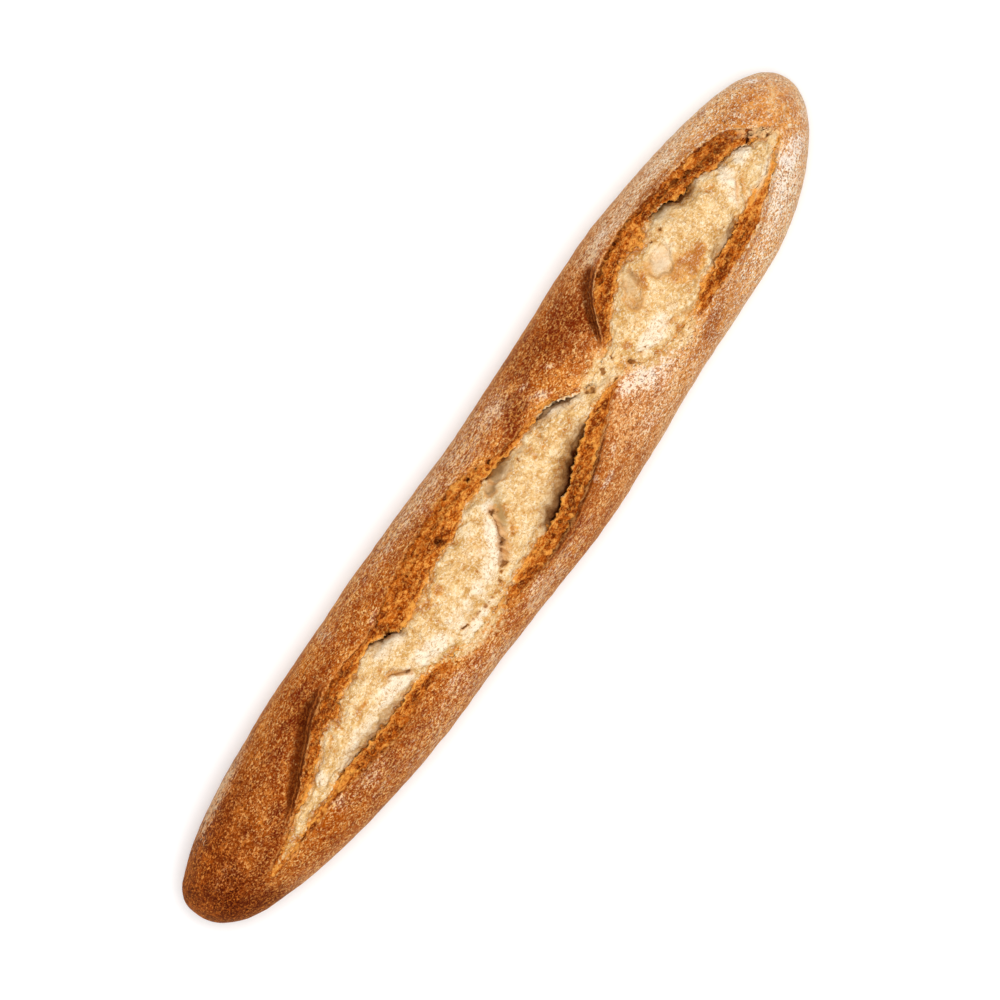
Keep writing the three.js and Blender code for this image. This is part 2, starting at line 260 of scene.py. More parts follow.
def slash_line(kind, side, x, body):
    """A line of the slashes at x. Past the ends of the slashes it spreads out over the tip."""
    points = LINES[kind, side]
    at = clamp(x, points[0][0], points[-1][0])
    there = body if at == x else Body(at)
    share = (line_at(points, at) - there.centre) / there.half
    spread = soft_step(abs(x - at), 0, TIP_SPREAD_OVER)
    share = blend(share, side * TIP_SPREAD[kind], spread)
    return body.centre + body.half * clamp(share, -SIDE_LIMIT, SIDE_LIMIT)


class Lip:
    """One side of the slashes at one place along the loaf."""

    def __init__(self, x, side, body, openness, torn):
        self.side = side
        mouth = slash_line("mouth", side, x, body)
        ridge = slash_line("ridge", side, x, body)
        self.band = max(side * (ridge - mouth), THINNEST_BAND * openness)
        self.mouth = mouth + RAGGED_MOUTH * ragged(x, 3 * side) * openness
        self.ridge = mouth + side * self.band + RAGGED_RIDGE * ragged(x, 9 * side) * torn
        reach = side * body.centre + SIDE_LIMIT * body.half
        self.outer = side * min(side * self.ridge + VALLEY_WIDTH, reach)
        self.firm = 1 - total(SOFT_EDGES, side, x)
        self.flap = total(FLAPS, side, x) * self.firm
        self.valley = total(VALLEYS, side, x)
        self.pocket = total(POCKETS, side, x) * openness
        self.drop = LIP_DROP * openness * self.firm
        self.floor = self.mouth + side * UNDERCUT * self.pocket
        self.sunk = self.drop + CRUMB_STEP * openness * self.firm + self.pocket
        self.reach = LIP_REACH + POCKET_REACH * self.pocket
        self.outer_angle = math.acos(clamp(side * (self.outer - body.centre) / body.half, -1, 1))


class Row:
    """Everything that one cross-section of the loaf is made from."""

    def __init__(self, x):
        self.x = x
        self.body = Body(x)
        mouths = [slash_line("mouth", side, x, self.body) for side in (LEFT, RIGHT)]
        self.past = max(CUT_START - x, x - CUT_END)
        self.gape = (mouths[0] - mouths[1]) * (1 - soft_step(self.past, *MOUTH_CLOSES))
        self.openness = soft_step(self.gape, 0, OPEN_WIDTH)
        self.torn = 1 - soft_step(self.past, *TEARING_STOPS)
        self.lips = {side: Lip(x, side, self.body, self.openness, self.torn) for side in (LEFT, RIGHT)}
        self.spots = {
            name: [spot for spot in spots if abs(x - spot[0]) < 2 * spot[2] + SPOT_MARGIN]
            for name, spots in SPOTS.items()
        }


# ---------------------------------------------------------------------------------------------
# The baked loaf, one piece: crust, torn bands and crumb run into each other. A flat sheet of
# small faces is wrapped round the cross-sections, with its closest mesh over the slashes, and
# then roughened: burst bubbles and seams in the crumb, fibres in the torn bands, lumps all over.
# ---------------------------------------------------------------------------------------------
COLUMNS = [("base", 8), ("side", 12), ("fold", 5), ("torn", 8), ("pocket", 2)]
SIDE_COLUMNS = sum(count for zone, count in COLUMNS)
CRUMB_COLUMNS = 30
ALL_COLUMNS = 2 * SIDE_COLUMNS + CRUMB_COLUMNS
COARSE_COLUMNS = 20
ROWS = 340
END_SHARE = 0.14

# Wide hollows that big bubbles left: place, half length, half width, lean, depth and raised rim.
HOLLOWS = [
    dict(x=112.5, y=5, long=7.2, wide=6, lean=0.5, depth=2.4, rim=0.3),
    dict(x=97, y=7.5, long=8.5, wide=4.2, lean=0.8, depth=2.4, rim=0.6),
    dict(x=9.5, y=8.6, long=6, wide=3, lean=-0.15, depth=2.4, rim=0.2),
    dict(x=2, y=8, long=3.3, wide=2.7, lean=0.4, depth=3.2, rim=0.6),
    dict(x=21.5, y=7.4, long=2.8, wide=1.6, lean=0, depth=1.1, rim=0.1),
    dict(x=29, y=4.5, long=2.4, wide=2.2, lean=0, depth=0.8, rim=0.2),
    dict(x=56.5, y=-1.6, long=3.2, wide=2, lean=-0.5, depth=2.2, rim=0.3),
    dict(x=60, y=-4.6, long=3, wide=1.8, lean=-0.2, depth=1, rim=0.2),
    dict(x=98, y=13, long=4, wide=2, lean=-0.2, depth=0.8, rim=0.2),
    dict(x=66, y=-5.4, long=3.4, wide=2.2, lean=0.2, depth=1.2, rim=0.3),
]
# Small burst bubbles, each its place along and across the loaf and its radius.
HOLES = [
    (54, -1.2, 1.1), (56.2, -2.6, 1.3), (70.6, -1, 0.9), (74, -7.8, 1.2), (65, -7, 0.8), (116.3, 12.3, 1.1),
    (122, 12, 1.2), (-27.2, -6.2, 0.8), (173, 5, 0.9), (176.4, -0.4, 1.2), (177.4, 2.6, 0.9),
    (174.4, 1.6, 1.2), (170.4, 4.4, 0.9), (-4.7, 2.4, 1.8), (-12.2, -7.4, 1.8), (-18.2, -12.4, 1.4),
    (-74.2, -6.6, 1.4), (-26.3, 12.4, 1.5), (10.5, 14.5, 1), (0, 17.5, 1), (64, -1.5, 0.8),
    (-67.5, 8.5, 1.6), (17, 5.6, 1), (178.6, -1, 0.9), (5, 17, 0.8),
]
# Rows of pinholes where a fold of crumb has almost closed, each a line, a spacing and a radius.
PINHOLES = [
    ([(-50, -14), (-43, -15.6), (-36, -16.6), (-28, -16.4), (-22, -14.2), (-17, -10.8)], 2.3, 0.8),
    ([(62, -1.4), (68, -0.6), (76, -1.4)], 2.6, 0.5),
    ([(72, -9.4), (79, -9), (90, -11.6)], 2.4, 0.5),
    ([(118, -9.6), (128, -8), (140, -7)], 3.1, 0.45),
]
for line, spacing, radius in PINHOLES:
    for step in range(1, int((line[-1][0] - line[0][0]) / spacing)):
        x = line[0][0] + (step + 0.6 * noise_at(step, spacing, 1.5)) * spacing
        y = line_at(line, x) + 0.8 * noise_at(step, 4.5, spacing)
        HOLES.append((x, y, radius * (1 + 0.9 * noise_at(step, 2.5, 6.5))))
# Cracks and folds: a line, the width of its two sides, its depth and how far it is broken to dots.
SEAMS = [
    dict(
        line=[(-22, -13.8), (-16.5, -10.2), (-12.5, -7), (-8.6, -2.4), (-5, 2.4), (-1, 7)],
        near=0.7, far=3.2, depth=4, dotted=0.5,
    ),
    dict(
        line=[(-83, -0.8), (-79, -2.6), (-76.5, -4.6), (-74.6, -6.6), (-72, -9)],
        near=1.6, far=0.6, depth=2.4, dotted=0.1,
    ),
    dict(line=[(-91, 11), (-88, 8.6), (-86, 3.6)], near=0.6, far=0.9, depth=0.8, dotted=0),
    dict(line=[(145, -10), (149, -5.5), (158, 1)], near=0.5, far=0.8, depth=0.8, dotted=0.2),
    dict(line=[(150, -10), (153.5, -5.5), (160, 0)], near=0.5, far=0.8, depth=0.8, dotted=0.2),
    dict(line=[(84, -8.6), (96, -11.5), (104, -14.5), (114, -13)], near=0.8, far=0.9, depth=1.4, dotted=1),
    dict(
        line=[(-28, -25.4), (-6, -26.4), (10, -25.4), (24, -22.8), (34, -19.8), (46, -15.4), (66, -8.4)],
        near=0.7, far=0.8, depth=3.2, dotted=0.1,
    ),
    dict(
        line=[(-18, -21.5), (4, -22), (18, -20.6), (30, -17.4), (46, -11.4)],
        near=0.7, far=0.9, depth=1.4, dotted=0.8,
    ),
    dict(
        line=[(-130, -12.6), (-112, -15.6), (-98, -18), (-80, -18.6)],
        near=0.7, far=0.8, depth=1.2, dotted=0.5,
    ),
    dict(
        line=[(-130, -10.6), (-114, -12.6), (-100, -13.6), (-82, -13.4)],
        near=0.6, far=0.7, depth=1, dotted=0.8,
    ),
    dict(
        line=[(-128, 6.6), (-112, 12.6), (-102, 14.4), (-86, 14.6)],
        near=0.6, far=0.8, depth=1.3, dotted=0.4,
    ),
    dict(
        line=[(-62, 13), (-40, 16), (-22, 17.4), (-4, 16.6), (12, 13)],
        near=0.7, far=0.8, depth=1.2, dotted=0.9,
    ),
    dict(
        line=[(-58, 18.6), (-36, 21.2), (-18, 22.4), (0, 20.4), (12, 15.6)],
        near=0.6, far=0.8, depth=0.4, dotted=0.7,
    ),
    dict(
        line=[(80, 12), (90, 19.4), (98, 22.6), (108, 24), (120, 24), (136, 20.4)],
        near=0.7, far=0.9, depth=1.8, dotted=0.5,
    ),
    dict(
        line=[(114, 20.4), (130, 19.6), (140, 18.2), (150, 15), (160, 12), (172, 6)],
        near=0.7, far=1, depth=1.8, dotted=0.3,
    ),
    dict(
        line=[(108, -17), (124, -16.4), (138, -15.6), (158, -12)],
        near=0.7, far=0.8, depth=1.2, dotted=0.8,
    ),
    dict(line=[(150, -18), (160, -14.6), (170, -9.6), (180, -5)], near=0.6, far=0.7, depth=1, dotted=0.2),
    dict(line=[(177, -2), (184, -1.8), (194, 0.4)], near=0.7, far=0.9, depth=0.9, dotted=0.5),
]
# Each spot is an oval of x, y, half length, half width, lean and amount. Browned crumb has more than
# 0 and palest crumb less, and some of these spots are painted shade by seams and hollows. Scorched crust
# is red-brown, and some of these spots are painted shadow under flaps and in valleys. Dusty crust has a
# thin veil of flour. Smooth places keep a bubble's skin, shaded ones get painted shade under a fold or
# in a hollow, and porous ones are all bubbles.
SPOTS = {
    "flour": [
        (70, -14, 9, 5, -0.1, 1.3), (76, -19, 10, 6, 0.2, 0.9), (86, -18, 8, 5, 0.1, 0.6),
        (64, -11, 4, 3, 0, 1), (79, -13.4, 6, 2.4, 0, 0.9), (32, -27.2, 6, 1.2, 0.1, 1.2),
        (42, -22, 4.5, 1.2, 0.6, 1), (29, -23, 2, 1.4, 0.3, 1), (172.6, -13, 3, 3, 0, 1.1),
        (181, -13, 6, 4, 0.4, 0.9), (190.6, 16.4, 3.4, 1, -0.9, 1.5), (176.2, 13.2, 2.2, 1, -1, 1.5),
        (68.8, 15.5, 1.8, 0.8, 1.1, 1.5), (55, 17.2, 5, 1.1, 0.2, 1.1), (41, 20.2, 3.6, 1.2, 0, 1.2),
        (42.5, 14, 3, 1.4, -0.5, 1), (-65, 16.6, 4.4, 1.3, 0.2, 1.1), (-131, -13, 4.5, 4, 0, 0.9),
        (-165, 24, 18, 2.4, 0.26, 0.25), (193, -10, 5, 7, 0.4, 0.7), (43.5, 11.6, 4, 2.6, -0.5, 0.8),
        (28, 24, 8, 3.4, 0, 0.8), (-56.8, -20.6, 4, 1.4, -0.1, 1), (-66, -23.4, 6, 2, 0, 0.8),
        (165, -16, 18, 6, 0.4, 1), (140, -24, 18, 4, 0.2, 0.5), (60, -27, 12, 4, 0, 0.6),
        (108, 30, 3, 1.4, 0, 1), (-18, -28, 6, 1.6, 0, 1), (-181, 5, 9, 8, 0.4, 0.3),
        (-116, -18, 14, 4, -0.1, 0.7), (146, 26, 12, 3, -0.25, 0.5), (-152, 25.6, 22, 2, 0.14, 0.9),
        (110, -13, 4, 1.6, 0, 0.8), (100, -15, 8, 1.4, 0, 0.8), (-10, 27, 50, 5, 0, 0.5),
        (118, 28, 28, 3.4, -0.05, 0.55), (-60, -27, 40, 4, 0, 0.4),
    ],
    "dusty": [
        (164, -17, 26, 9, 0.35, 1), (130, -24, 20, 8, 0.1, 0.4), (112, 29, 38, 5, -0.03, 0.8),
        (-60, -31.5, 50, 3, 0, 0.5), (165, 24, 20, 3, -0.4, 0.4), (-165, 24, 22, 4, 0.26, 0.45),
        (150, 25, 16, 4, -0.25, 0.5), (10, 25, 48, 9, -0.03, 0.8), (-50, 29, 40, 4, 0, 0.6),
        (-10, -31, 46, 6, 0, 0.7), (-100, -26, 36, 6, -0.05, 0.6), (-150, 27, 26, 2.4, 0.15, 0.7),
        (40, 14, 7, 4, -0.5, 0.6), (60, -22, 22, 12, 0, 0.5), (-160, -20, 20, 3, -0.3, 0.4),
        (92, 24, 14, 3, 0.5, 0.5), (-60, -24, 16, 6, 0, 0.35), (186, 5, 12, 13, 0, -0.7),
        (197, -6, 5, 13, 0.3, 0.9), (66, 22, 24, 10, 0, -1), (-34, -31, 8, 3, 0, -0.5),
        (-82, 27, 5, 5, 0, 0.5), (140, 26, 36, 6, -0.1, 0.15),
    ],
    "scorched": [
        (-190, -2, 9, 7, -0.5, 1.5), (-194, 12, 6, 6, 0, 1.1), (-184, -10, 14, 3, -0.6, 1.2),
        (-142, 9, 14, 4, 0.5, 0.4), (-100, 21, 22, 5, 0, 0.5), (54, 24, 14, 8, -0.1, 1.2),
        (68, 20, 13, 9, 0.2, 1.3), (-62, 13, 14, 4, 0, 0.6), (28, 15.6, 14, 3, -0.1, 0.6),
        (104, -27, 10, 4, 0.1, 0.7), (-90, -21, 16, 3, 0, 0.3), (158, 17, 10, 3, -0.5, 0.7),
        (-70, 22, 20, 6, 0, 0.3), (10, -27, 16, 2, 0, 0.5), (78, 12, 4, 6, 0.6, 0.6),
        (-108, -24, 26, 7, 0, 0.5), (188, 4, 12, 14, 0, 0.4), (131, 24.2, 9, 2, -0.1, 1.2),
        (148, 13.6, 12, 2.2, -0.4, 0.6), (114, 18, 6, 3.4, 0, -0.9), (90, 14, 4, 1.4, 0.5, 0.7),
        (100, 19, 9, 2, 0.4, 0.4), (112, -24, 20, 4, 0.1, 0.7), (174, 15, 10, 6, -0.6, 0.8),
        (32, 17.4, 9, 6, 0.3, 1.4), (22, 12.6, 7, 1.8, 0, 1.2), (20, 17.4, 5, 3, 0, -0.6),
        (79, 20, 7, 5, 0.5, 0.9), (37, -17, 10, 2.4, 0.35, -0.9), (4, 17, 11, 3, -0.1, -1),
        (-15, 20, 16, 2.4, 0, -0.8), (20, -18.4, 8, 1.6, 0.35, 1.1), (76, 15, 5, 9, 0.2, 0.9),
        (156, -11.6, 13, 2.8, 0.3, -1.2), (168, -9, 8, 2.6, 0.4, -1.4), (128, 18, 5, 2.4, 0, 0.7),
        (-125, 17, 32, 8, 0.2, 0.6), (-150, 1, 15, 4, 0.4, 1.1), (-162, -4, 8, 4, 0.2, 1),
        (-148, -19, 12, 4, -0.1, 0.6), (-112, 19.6, 20, 4, 0.1, 0.6), (-180, 2, 9, 8, 0, 0.9),
        (-104, 9.4, 6, 2, 0.2, 0.6), (-180, -13, 10, 4, -0.4, 1.3), (-122, -17, 16, 3, -0.05, 0.7),
        (84, 27, 16, 5, 0.1, 0.8), (140, 18.4, 5, 2, -0.2, -0.6), (-166, 17, 14, 3, 0.3, 0.6),
        (38, 11.6, 11, 1.8, -0.3, -1.5), (55, 4.6, 6, 1.8, -0.8, -1.2), (-4, 24, 50, 6, 0, 0.3),
        (-172, -6, 8, 3, 0.2, 0.8), (-118, 16, 12, 3, 0.4, 0.5), (-4, -23, 6, 2, 0, -1),
        (-122, -11.4, 10, 1.4, -0.05, -1.6), (-176, -13, 10, 3, -0.5, 0.5), (-180, -3, 10, 3, 0, 0.5),
    ],
    "browned": [
        (116.5, -4.8, 8.5, 5, -0.15, 2.2), (124.5, -5, 3, 2, 0, 2), (-95, 0, 5, 1, 0, 1),
        (-42, 1, 2.2, 3, 0, 0.9), (-58, 7, 8, 4, 0, 1), (110, 16, 8, 2.6, 0, 1.2),
        (-5.5, -8.5, 2.4, 2.2, 0, 1.1), (103, 6.5, 1.4, 5, -0.6, 1.4), (78, -3.4, 2.6, 1.6, -0.8, 1.3),
        (159, 4, 1.8, 3.8, 0.1, 1), (128, 12, 5, 2, 0.2, 0.4), (-112, 8, 6, 2, 0.3, 0.9),
        (58, -7.4, 5, 1.8, 0.2, 1.2), (96, -16, 8, 1.6, -0.1, 0.6), (-32, -20.6, 12, 1.8, 0, 0.9),
        (-84, -9.8, 6, 1, 0, 0.7), (-25, -17, 5, 2, 0, 0.9), (-20, 1, 3, 3, 0, 0.5),
        (-60, -2, 6, 4, 0.2, 0.4), (30, 0, 10, 3, -0.4, 0.4), (146, 6, 4, 3, 0, 0.5),
        (-81, -6, 6, 3.4, -0.4, -1.8), (-88, -7, 5, 2, 0, -1.2), (-13, -3, 8, 3, 0.95, -1.8),
        (164, 3, 4.6, 4, 0, -1.3), (43, 7.6, 10, 3, -0.42, -1.5), (156, 4, 5, 5, 0.8, -1.2),
        (-4, 5, 3, 2.4, 0, -1.6), (86, -9, 9, 4, 0, -0.9), (-64, -9, 9, 4, -0.3, -1),
        (112.5, 5, 6, 5, 0.3, -0.9), (-128, -3, 4, 3, 0, -0.7), (40, 5, 8, 3, -0.3, -0.6),
        (-73, 6, 6, 4, -0.2, -1.1), (-47, 3.6, 9, 3.6, 0.1, 0.7), (71, -6, 3, 6, 0.3, 0.9),
        (-3, -1, 4, 5, 0.3, 0.7), (-65, 3, 4, 4, 0, -0.8), (-105, 5, 10, 3, 0.2, 0.7),
        (101, 9, 1.8, 6, -0.3, 1), (86, -3, 9, 3, 0, 0.6), (-105, -5.5, 20, 3, 0.05, -0.9),
        (-36, -11, 22, 5, 0, -0.8), (-60, -8, 9, 5, 0, -0.6), (-22, -5, 5, 8, 0.5, -0.6),
        (90, -8, 14, 5, 0, -0.6), (-42, -17.5, 12, 2, 0, -1), (128, 15, 5, 3, 0, -0.7),
        (150, -3, 7, 4, 0.7, -0.9), (161, -9.8, 12, 2, 0.3, -1.4), (-76, -8.6, 3, 1.4, 0, -1.2),
    ],
    "smooth": [
        (112.5, 5.2, 6.4, 5.2, 0.5, 1), (2.2, 7.6, 3.4, 2.8, 0.4, 1.3), (9.6, 8.2, 5.4, 2.6, -0.15, 1.3),
        (21, 7, 3, 1.8, 0, 0.6), (-6.6, -2, 6.4, 1.7, 1.02, 1.1), (-14, -9.4, 4, 1.6, 0.8, 0.7),
        (98, 9.6, 6, 3, 0.8, 0.8), (-75, -5.4, 3, 2, -0.8, 0.5), (133, -10.8, 7, 2, 0.1, 0.9),
        (-92, -9.2, 16, 1.6, 0, 0.7), (44, 4.6, 8, 2.6, -0.4, 0.7), (-72, 8, 6, 3, -0.2, 0.5),
        (62, -4.4, 3, 1.8, -0.2, 0.6), (128, 14.6, 8, 3, 0, 0.7), (14, -14.6, 18, 3, 0.25, 0.5),
        (188, 2, 14, 16, 0, 0.9),
    ],
    "shaded": [
        (-4, -1.4, 6, 1.8, 0.9, 1.2), (1, 4.6, 4.6, 4, 0, 0.5), (101.4, 10, 1.4, 5, -0.2, 0.4),
        (128.5, 16.4, 3.6, 1.4, 0, 1.2), (9.6, 9.6, 5.6, 2.2, -0.15, 1), (2.3, 7.9, 2.8, 2.3, 0, 0.8),
        (-73.6, -6.6, 2.8, 0.9, -1, 0.7), (110, 3, 3, 5, 0.5, 0.3), (98.5, 9.6, 5.6, 2.4, 0.7, 0.35),
        (-7.6, 9.8, 5, 0.8, -0.3, 0.5), (20.6, 7.4, 2.6, 1.4, 0, 0.4), (56, -1.8, 3, 1.8, -0.5, 0.45),
        (-69, 7.2, 3.4, 2.4, -0.8, 0.6), (131, 14.6, 10, 2.4, 0, 0.3), (62, -4, 3.4, 1.2, -0.2, 0.4),
    ],
    "porous": [
        (68, -4, 9, 5, 0, 1), (100, -11, 12, 4, -0.1, 0.9), (-40, -15, 14, 3, 0, 0.9),
        (-5, 5, 6, 4, 0, 0.8), (172, 3, 6, 5, 0, 0.8),
    ],
}
# How far off a hollow or a seam is still felt, and how wide the dark core of a seam can be.
HOLLOW_REACH = 16
SEAM_REACH = 9
SEAM_CORE = 0.9
# A hollow's rim, the raised part and the part with painted shadow on its side of lower x and y: place
# and width, as shares of the hollow.
RAISED_RIM, RAISED_WIDTH = 1.1, 0.14
SHADOW_RIM, SHADOW_RIM_WIDTH = 0.92, 0.13
HOLE_DEPTH = 1.4
# The curves of the crumb, the lips and the valleys.
CRUMB_FALL_POWER = 1.6
LIP_CURL_POWER = 1.3
VALLEY_DEPTH = 0.6
VALLEY_LEAN = 1.45
SPOT_EDGE = 1.2
PORE_LEAST, PORE_MORE = 0.12, 0.22
# The painted shade under a lip, and the painted shadow in a valley from its outer side, at 0, to the
# ridge, at 1.
SHADE_WIDTH = {LEFT: 2.6, RIGHT: 5}
SHADE_POWER = 1.3
DARKEST_POCKET = 7.5
DARKEST_VALLEY = 3.3
DARK_STARTS, DARK_FULL, DARK_FADES, DARK_ENDS = 0.76, 0.78, 0.86, 0.98
DARK_WIDENS = 0.16
DARK_GAIN = 1.35
# Limits to how far a place is inside an edge, and what a closed slash takes off it.
DEEP_IN_MOUTH, FAR_FROM_MOUTH = 8, -18
DEEP_IN_BAND, FAR_FROM_BAND = 6, -6
SHUT = 12
NEARLY_SHUT = 2
SAME_PLACE = 1e-4
ROUGH_FROM = (0.5, 6)


def turned(dx, dy, lean):
    """An offset measured along and across a direction that leans from the loaf's length."""
    return dx * math.cos(lean) + dy * math.sin(lean), dy * math.cos(lean) - dx * math.sin(lean)


def oval(spot, x, y):
    """0 outside an oval spot and its amount at its middle."""
    spot_x, spot_y, long, wide, lean, amount = spot
    off_along, off_across = turned(x - spot_x, y - spot_y, lean)
    u, v = off_along / long, off_across / wide
    return amount * math.exp(-SPOT_EDGE * (u * u + v * v) ** 1.5)


def station(s):
    """The place along the loaf of share s, from -1 to 1: even, then crowding towards each tip."""
    plain = 1 - END_SHARE
    even_end = 2 * plain / (1 + plain)
    far = abs(s)
    past = (far - plain) / END_SHARE
    share = far / plain * even_end if far < plain else 1 - (1 - even_end) * (1 - past) ** 2
    return math.copysign(share * LENGTH / 2, s)


def zone_of(column):
    """The zone, the share of the way through it and the side, of a column counted from the left."""
    if SIDE_COLUMNS <= column <= SIDE_COLUMNS + CRUMB_COLUMNS:
        return "crumb", (column - SIDE_COLUMNS) / CRUMB_COLUMNS, LEFT
    side = LEFT if column < SIDE_COLUMNS else RIGHT
    left = column if side == LEFT else ALL_COLUMNS - column
    for zone, count in COLUMNS:
        if left <= count:
            return zone, left / count, side
        left -= count


def hollow_at(x, y):
    """How deep hollows and bubbles are here, and how much browner crumb and painted shade darken it, 0 to
    1.
    """
    deepest = brown_and_shade = 0
    for h in HOLLOWS:
        dx, dy = x - h["x"], y - h["y"]
        if abs(dx) > HOLLOW_REACH:
            continue
        off_along, off_across = turned(dx, dy, h["lean"])
        wander = 0.3 * noise_at(x / 3, y / 3, h["x"])
        away = math.hypot(off_along / h["long"], off_across / h["wide"]) + wander
        raised = h["rim"] * fading(away - RAISED_RIM, RAISED_WIDTH)
        dent = h["depth"] * (1 - soft_step(away, 0.55, 1)) - raised
        deepest = dent if abs(dent) > abs(deepest) else deepest
        # Painted shadow along the rim on the side of lower x and y.
        shadowed = clamp(0.5 - (dx + dy) / (h["long"] + h["wide"]), 0, 1)
        rim = 0.5 * shadowed * fading(away - SHADOW_RIM, SHADOW_RIM_WIDTH)
        brown_and_shade = max(brown_and_shade, min(h["depth"] / 2, 1) * max(rim, 0.1 * (1 - soft_step(away, 0.6, 1))))
    for hx, hy, radius in HOLES:
        away = math.hypot(x - hx, y - hy) / radius + 0.9 * noise_at(x / 1.3, y / 1.3, hx)
        inside = 1 - soft_step(away, 0.4, 1.05)
        deepest = max(deepest, HOLE_DEPTH * radius * inside)
        brown_and_shade = max(brown_and_shade, inside, 0.3 * min(radius - 0.5, 1) * (1 - soft_step(away, 0.9, 1.8)))
    return deepest, brown_and_shade


def seam_at(x, y):
    """How deep the seams are at a place, and how much browner crumb and painted shade darken it, 0 to 1."""
    deepest = brown_and_shade = 0
    for number, seam in enumerate(SEAMS):
        line = seam["line"]
        if not line[0][0] < x < line[-1][0]:
            continue
        slope = line_at(line, x + 0.5) - line_at(line, x - 0.5)
        wander = 0.5 * noise_at(x / 2.6, number, 3)
        off = (line_at(line, x) + wander - y) / math.hypot(1, slope)
        if abs(off) > SEAM_REACH:
            continue
        width = seam["near"] if off < 0 else seam["far"]
        gaps = 1 - seam["dotted"] * soft_step(noise_at(x / 1.1, number, 11), -0.15, 0.15)
        ends = along(line[0][0], line[-1][0], x)
        trough, core = fading(off, width), fading(off, min(width, SEAM_CORE))
        # Painted shade on a wide seam's far side.
        veil = 0.42 * trough * soft_step(width, 1, 3)
        deepest = max(deepest, seam["depth"] * trough * gaps * ends)
        brown_and_shade = max(brown_and_shade, min(seam["depth"] / 2.5, 1) * max(core * gaps, veil) * ends)
    return deepest, brown_and_shade


def crumb_point(row, f):
    """Across and up, in millimetres, on the crumb: crowned, and sunk under the lip on either side."""
    left, right = row.lips[LEFT], row.lips[RIGHT]
    y = blend(left.floor, right.floor, f)
    fall_left = left.sunk * fading(max(left.floor - y, 0), left.reach, CRUMB_FALL_POWER)
    fall_right = right.sunk * fading(max(y - right.floor, 0), right.reach, CRUMB_FALL_POWER)
    sag = (fall_left ** 3 + fall_right ** 3) ** (1 / 3)
    bulge = CRUMB_CROWN * 4 * f * (1 - f) * row.openness
    return y, row.body.crust_level(y) - sag + bulge


def skin_point(row, zone, f, side):
    """Across and up, in millimetres, for a place on the cross-section."""
    body, lip = row.body, row.lips[side]
    if zone == "base":
        angle = math.pi / 2 * (1 - f)
        return body.centre + side * body.half * math.cos(angle), body.underside_level(angle)
    if zone == "side":
        y = body.centre + side * body.half * math.cos(lip.outer_angle * f)
        return y, body.crust_level(y)
    if zone == "fold":
        y = blend(lip.outer, lip.ridge, f)
        sunk = VALLEY_DEPTH * lip.valley * math.sin(math.pi * f ** VALLEY_LEAN) ** 2
        return y, body.crust_level(y) + lip.flap * soft_step(f, 0, 1) - sunk
    if zone == "torn":
        y = blend(lip.ridge, lip.mouth, f)
        return y, body.crust_level(y) + blend(lip.flap, -lip.drop, f ** LIP_CURL_POWER)
    if zone == "pocket":
        y = blend(lip.mouth, lip.floor, math.sin(f * math.pi / 2))
        edge = body.crust_level(lip.mouth)
        return y, edge - blend(lip.drop, lip.sunk, f)
    return crumb_point(row, f)


def pore_depth(place, size, share):
    """Small burst bubbles at random, in a share of the cells of a size."""
    distances, centres = noise.voronoi(place / size)
    chance = 0.5 + 0.5 * noise.cell(centres[0] * 7.3)
    if chance > share:
        return 0
    radius = PORE_LEAST + PORE_MORE * noise.cell(centres[0] * 3.1 + Vector((5, 5, 5))) ** 2
    away = distances[0] / radius
    return 0 if away > 1 else radius * size * (1 - away ** 2)


def lumps(place, size, height):
    """Rounded lumps of a size, up to a height above and below."""
    return height * noise.noise(place / size)


def creases(place, size):
    """From 0 along wandering creases to about 1 on the swellings between them."""
    return min(2.5 * abs(noise.noise(place / size)), 1)


def lift_at(place, masks):
    """How far the surface stands off its smooth form, in millimetres."""
    crust = lumps(place, 22, 0.35) + lumps(place, 5, 0.22)
    if masks["crumb"] == 0 and masks["torn"] == 0:
        return crust
    drawn = Vector((place.x / 5.5, place.y / 1.5, place.z / 1.5))
    tear = 0.7 - 1.4 * creases(drawn, 1) + lumps(place, 3.4, 1.1) + lumps(place, 1.4, 0.8)
    tear -= 1.4 * pore_depth(place, 3.2, 0.7)
    share = 0.3 + 0.7 * masks["porous"]
    crumbs = 0.9 * creases(place, 8) + 0.5 * creases(place + Vector((9, 9, 9)), 3) - 0.6
    crumbs += lumps(place, 2.2, 0.4) + lumps(place, 1, 0.3)
    crumbs -= 1.3 * pore_depth(place, 2.6, share)
    return blend(crust, blend(tear, crumbs, masks["crumb"]), max(masks["crumb"], masks["torn"]))


